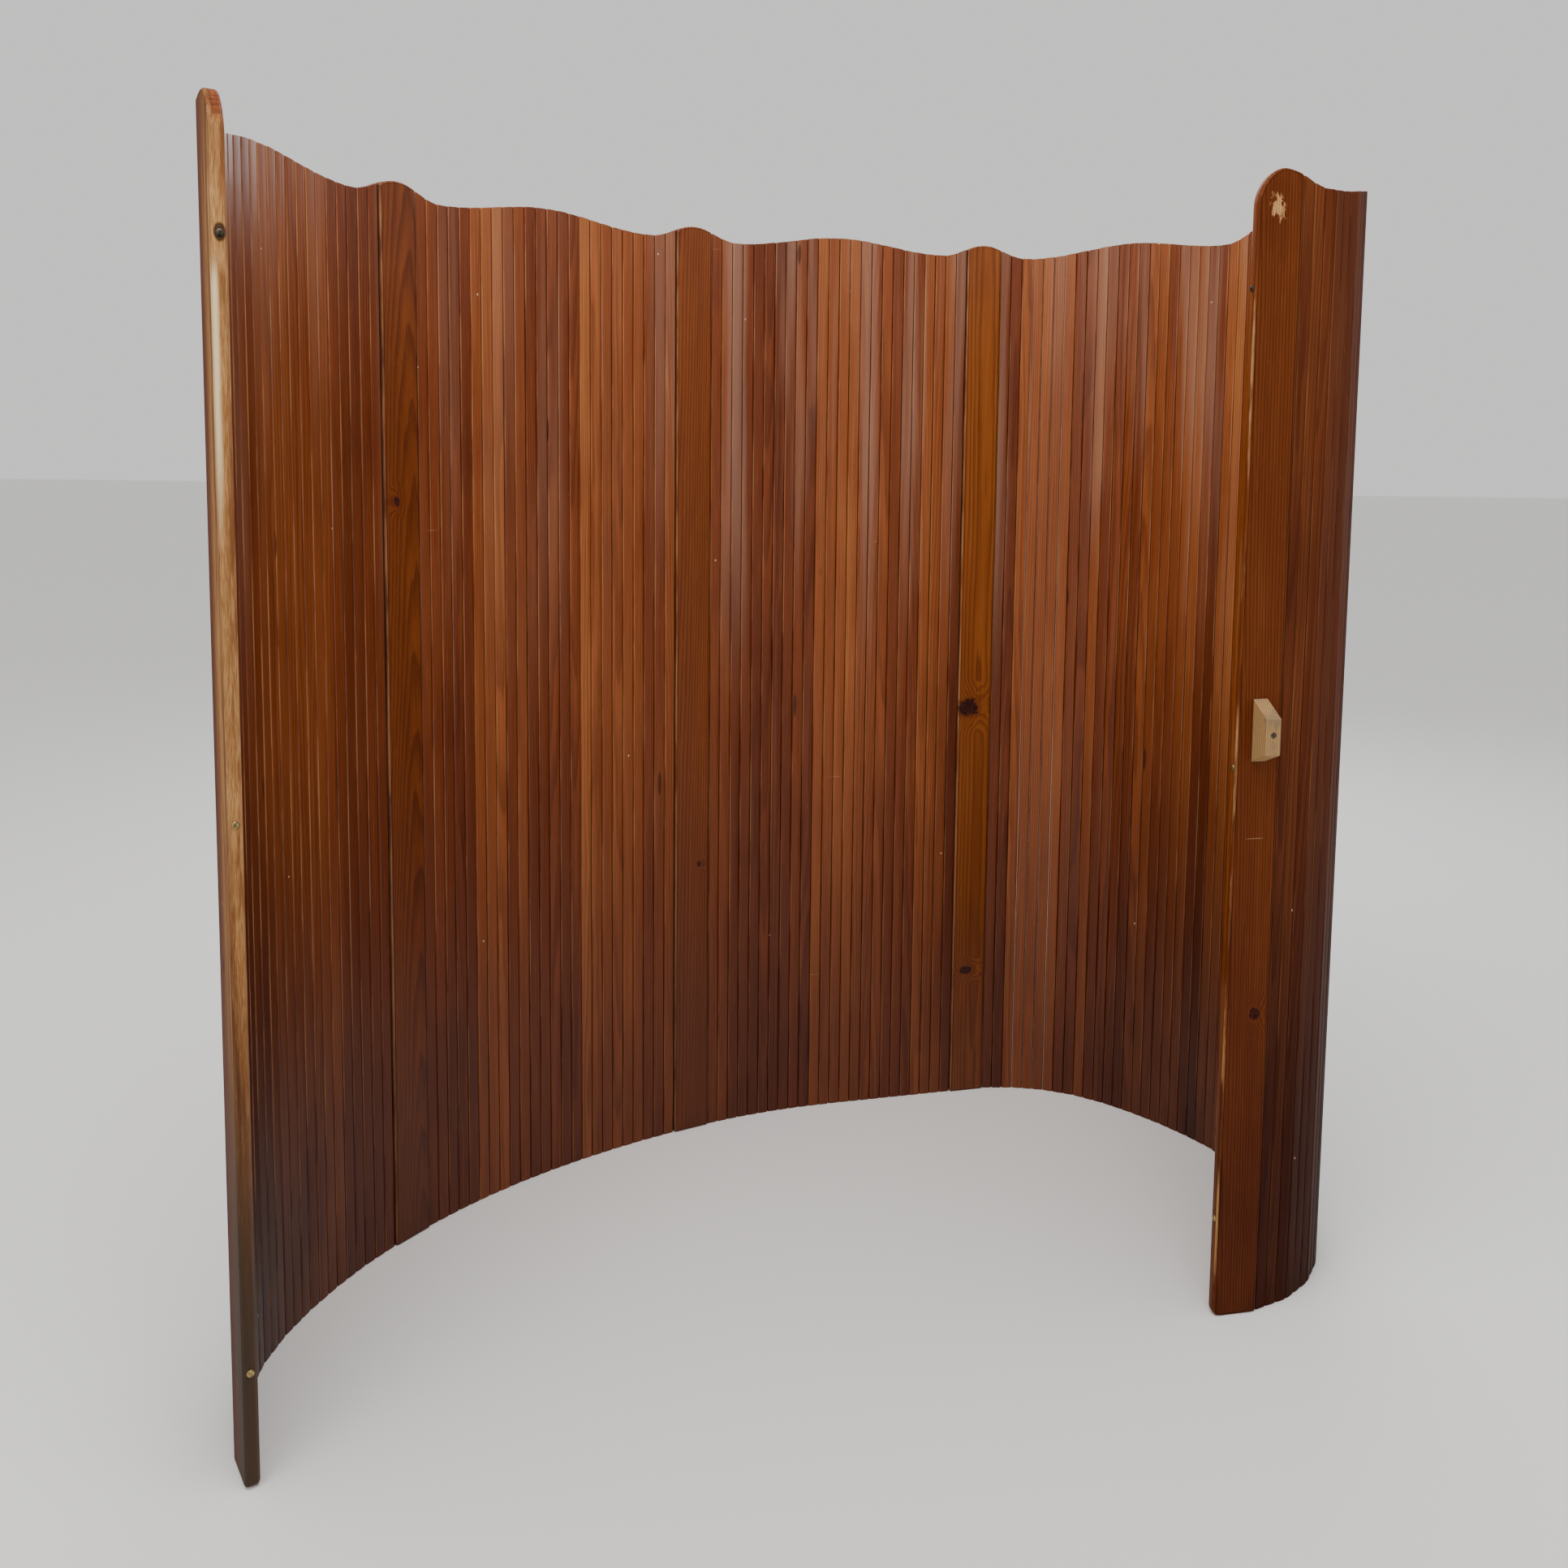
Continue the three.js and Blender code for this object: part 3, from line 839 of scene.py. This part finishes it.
def left_wear(g):
    """The left end board's free edge is worn bare, most of all in its upper half."""
    side = -BOARD_WIDTH / 2
    at_edge = g.fade(g.x, side + 5 * MM, side + 1 * MM)
    outside = g.times(g.fade(g.x, side + 60 * MM, side + 12 * MM), g.fade(g.y, 2 * MM, 7 * MM))
    near = g.math("MAXIMUM", at_edge, outside)
    long_worn = g.noise(g.scaled(g.place, 90, 90, 3.2), 4.0, 0.62)
    worn = g.times(near, g.fade(long_worn, 0.34, 0.54, 0.25, 1.0))
    worn = g.times(worn, g.fade(g.z, 0.20, 1.05, 0.10, 0.92))
    worn = g.times(worn, g.fade(g.z, 1.70, 1.55, 0.45, 1.0))
    g.lay_bare(worn)

    brown = g.fade(g.noise(g.scaled(g.place, 70, 70, 9), 3.0, 0.6), 0.48, 0.62)
    brown = g.times(g.times(brown, near), g.fade(g.y, 6 * MM, -4 * MM, 0.25, 0.75))
    g.paint(brown, (0.150, 0.052, 0.016))

    pale = g.times(g.fade(g.z, 1.15, 1.34), g.fade(g.z, 1.51, 1.47))
    pale = g.times(pale, g.fade(g.y, 1 * MM, 6 * MM))
    pale = g.times(pale, g.fade(long_worn, 0.40, 0.56, 0.25, 1.0))
    pale = g.times(pale, g.fade(g.x, side + 14 * MM, side + 5 * MM))
    g.paint(pale, (0.72, 0.55, 0.31))

    g.paint(g.times(near, g.fade(g.z, 0.75, 0.14, 0.0, 0.9)), (0.042, 0.030, 0.021))

    top_pin = wire_heights()[-1]
    dz = g.away(g.z, top_pin + 1 * MM, 12 * MM)
    dy = g.math("DIVIDE", g.y, 7.5 * MM)
    reach = g.plus(g.wear, 0.5, g.length(dz, dy))
    round_pin = g.times(g.fade(reach, 1.0, 1.35, 1.0, 0.0), at_edge)
    g.paint(g.times(round_pin, 0.9), (0.030, 0.014, 0.009))
    return near


def right_wear(g):
    """The right end board has a bare patch near its outside top and a pale free arris."""
    dx = g.away(g.x, 5 * MM, 10 * MM)
    dz = g.away(g.z, 1.645, 15 * MM)
    ragged = g.noise(g.scaled(g.place, 150, 150, 60), 4.0, 0.7)
    reach = g.swing(ragged, 4.6, g.length(dx, dz))
    patch = g.times(g.fade(reach, 0.7, 1.1, 1.0, 0.0), g.outer)
    g.lay_bare(patch)

    side = BOARD_WIDTH / 2
    at_edge = g.fade(g.x, side - 3 * MM, side - 0.5 * MM)
    line = g.times(at_edge, g.fade(g.wear, 0.46, 0.62, 0.0, 0.7))
    line = g.times(line, g.fade(g.y, 3 * MM, 7 * MM))
    g.lay_bare(line)
    return g.math("MAXIMUM", patch, line)


def raw_pine(name):
    """Bare sawn pine with grey-brown dirt."""
    g = Graph(name)
    grain = g.tree.nodes.new("ShaderNodeTexCoord").outputs["Object"]
    late = growth(g, grain, BLOCK_RINGS)
    fine = g.noise(g.scaled(grain, 1300, 1300, 40), 3.0, 0.6)
    dirt = g.noise(g.scaled(grain, 60, 60, 34), 4.0, 0.62)
    colour = g.mix(g.times(late, 0.85), (0.37, 0.215, 0.080), (0.21, 0.105, 0.034))
    colour = g.mix(g.fade(fine, 0.5, 0.72, 0.0, 0.45), colour, (0.24, 0.15, 0.08))
    colour = g.mix(g.fade(dirt, 0.46, 0.66, 0.0, 0.7), colour, (0.17, 0.12, 0.070))
    height = g.plus(fine, 1.0, g.times(late, 0.6))
    return g.finish(
        Base_Color=colour,
        Roughness=g.fade(dirt, 0.3, 0.7, 0.62, 0.85),
        Normal=g.bump(height, 0.7, 0.3 * MM),
        IOR=1.45,
    )


def old_metal(name, bright, dull, roughness, scale):
    """Metal with spots of tarnish and a fine grain."""
    g = Graph(name)
    at = g.tree.nodes.new("ShaderNodeTexCoord").outputs["Object"]
    tarnish = g.noise(g.scaled(at, scale, scale, scale), 5.0, 0.65)
    fine = g.noise(g.scaled(at, 6 * scale, 6 * scale, 2 * scale), 3.0, 0.6)
    spots = g.fade(tarnish, 0.42, 0.62)
    colour = g.mix(spots, bright, dull)
    return g.finish(
        Base_Color=colour,
        Metallic=1.0,
        Roughness=g.swing(fine, 0.2, g.plus(spots, 0.25, roughness)),
        Normal=g.bump(fine, 0.35, 0.12 * MM),
    )


# ---------------------------------------------------------------- build


def build_boards():
    """The boards, each with varnished pine of its own for the inside and for the outside."""
    for number, (name, (free, tone, knots, own_wear)) in enumerate(BOARDS.items()):
        looks = [
            varnished(name + ending, BOARD_COLOURS, BOARD_RINGS, knots, own_wear, board=True, dull=dull)
            for ending, dull in (("_pine", False), ("_pine_dull", True))
        ]
        form = Form()
        timber = Timber(BOARD_SEED + number, tone, near=0.035, far=0.06, tilt=0.03)
        add_board(form, along_screen(name), free, timber)
        piece = form.build(name + "_plate", looks, world_of(name))
        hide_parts(name)
        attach(piece, name)


def dress(node, look, edge):
    """Give a node of the frame its material and slightly rounded edges."""
    mesh = node.data
    mesh.materials.clear()
    mesh.materials.append(look)
    mesh.polygons.foreach_set("use_smooth", [True] * len(mesh.polygons))
    eased = node.modifiers.new("eased_edges", "BEVEL")
    eased.width = edge
    eased.segments = 3
    eased.limit_method = "ANGLE"
    eased.angle_limit = math.radians(40)
    eased.use_clamp_overlap = True
    node.modifiers.new("even_shading", "WEIGHTED_NORMAL").weight = 100


# Each board's free side as in board_outline, its tone, its knots and what draws its own wear.
BOARDS = {
    "left_end_board": (-1, 0.40, [(9 * MM, 0.66, 8 * MM, 11 * MM)], left_wear),
    "board_1": (0, 0.24, [(-12 * MM, 1.21, 6 * MM, 9 * MM)], None),
    "board_2": (0, 0.36, [(14 * MM, 0.52, 5 * MM, 7 * MM)], None),
    "board_3": (0, 0.62, [(-13 * MM, 0.796, 24 * MM, 17 * MM), (-6 * MM, 0.255, 14 * MM, 9 * MM)], None),
    "board_4": (0, 0.45, [(10 * MM, 1.04, 8 * MM, 10 * MM)], None),
    "right_end_board": (1, 0.50, [(-11 * MM, 0.47, 9 * MM, 12 * MM)], right_wear),
}

slat_pine = varnished("slat_pine_varnished", SLAT_COLOURS, SLAT_RINGS)
slat_pine_dull = varnished("slat_pine_dull", SLAT_COLOURS, SLAT_RINGS, dull=True)
wire_steel = old_metal("wire_steel", (0.30, 0.28, 0.25), (0.10, 0.07, 0.05), 0.42, 240)
brass = old_metal("pin_brass_tarnished", (0.42, 0.30, 0.12), (0.14, 0.10, 0.05), 0.38, 260)
black_brass = old_metal("pin_brass_blackened", (0.085, 0.070, 0.050), (0.030, 0.025, 0.020), 0.52, 260)
steel = old_metal("screw_steel_dull", (0.15, 0.13, 0.11), (0.07, 0.05, 0.04), 0.45, 320)
bare = raw_pine("block_pine_bare")

build_strips([slat_pine, slat_pine_dull, wire_steel], wire_heights())
build_boards()
dress(frame["nodes"]["pull_block"], bare, BLOCK_EASE)
dress(frame["nodes"]["pull_block_screw"], steel, METAL_EASE)
for side in ("left", "right"):
    for i in range(1, WIRE_COUNT + 1):
        look = black_brass if i == WIRE_COUNT else brass
        dress(frame["nodes"][f"{side}_wire_pin_{i}"], look, METAL_EASE)

# ---------------------------------------------------------------- stage


FLOOR_HALF = 60.0
EYE = Vector((-0.031553, -2.191438, 1.282303))
EYE_PITCH = 5.3768               # degrees below level
EYE_ROLL = 0.7223                # degrees
LENS = 31.955                    # in millimetres, on a sensor 36 mm wide
SHIFT_X, SHIFT_Y = -0.02157, -0.1230


def add_stage():
    """A pale floor."""
    corners = [(x * FLOOR_HALF, y * FLOOR_HALF, 0) for x, y in ((-1, -1), (1, -1), (1, 1), (-1, 1))]
    mesh = bpy.data.meshes.new("floor")
    mesh.from_pydata(corners, [], [(0, 1, 2, 3)])
    floor = bpy.data.objects.new("floor", mesh)
    bpy.context.scene.collection.objects.link(floor)
    g = Graph("floor_pale")
    mesh.materials.append(g.finish(Base_Color=(0.82, 0.81, 0.80), Roughness=0.9))


def add_area(name, at, target, size, power, colour=(1, 1, 1)):
    lamp = bpy.data.lights.new(name, "AREA")
    lamp.shape = "RECTANGLE"
    lamp.size, lamp.size_y = size
    lamp.energy = power
    lamp.color = colour
    holder = bpy.data.objects.new(name, lamp)
    holder.location = at
    way = Vector(target) - Vector(at)
    holder.rotation_euler = way.to_track_quat("-Z", "Y").to_euler()
    bpy.context.scene.collection.objects.link(holder)


def add_world():
    world = bpy.data.worlds.new("studio")
    world.use_nodes = True
    background = world.node_tree.nodes["Background"]
    background.inputs["Color"].default_value = (1.0, 0.995, 0.985, 1)
    background.inputs["Strength"].default_value = 0.85
    bpy.context.scene.world = world


def add_camera():
    """The eye stands before the open side, a little above the middle of the screen."""
    data = bpy.data.cameras.new("camera")
    data.sensor_fit = "HORIZONTAL"
    data.sensor_width = 36.0
    data.lens = LENS
    data.shift_x, data.shift_y = SHIFT_X, SHIFT_Y
    camera = bpy.data.objects.new("camera", data)
    pitch, roll = math.radians(EYE_PITCH), math.radians(EYE_ROLL)
    forward = Vector((0, math.cos(pitch), -math.sin(pitch)))
    up = Vector((0, math.sin(pitch), math.cos(pitch)))
    side = Vector((1, 0, 0))
    x_axis = side * math.cos(roll) + up * math.sin(roll)
    y_axis = up * math.cos(roll) - side * math.sin(roll)
    basis = Matrix((x_axis, y_axis, -forward)).transposed().to_4x4()
    camera.matrix_world = Matrix.Translation(EYE) @ basis
    bpy.context.scene.collection.objects.link(camera)
    bpy.context.scene.camera = camera


add_stage()
add_world()
add_area("over", (-0.3, -1.1, 3.3), (0.0, 0.45, 0.9), (2.2, 1.6), 75, (1.0, 0.985, 0.96))
add_area("front", (-1.8, -3.6, 3.0), (0.0, 0.1, 0.9), (2.6, 2.2), 30, (1.0, 0.99, 0.97))
add_area("back", (0.6, 3.6, 3.2), (0, 0, 0.8), (3.0, 2.0), 80)
add_camera()
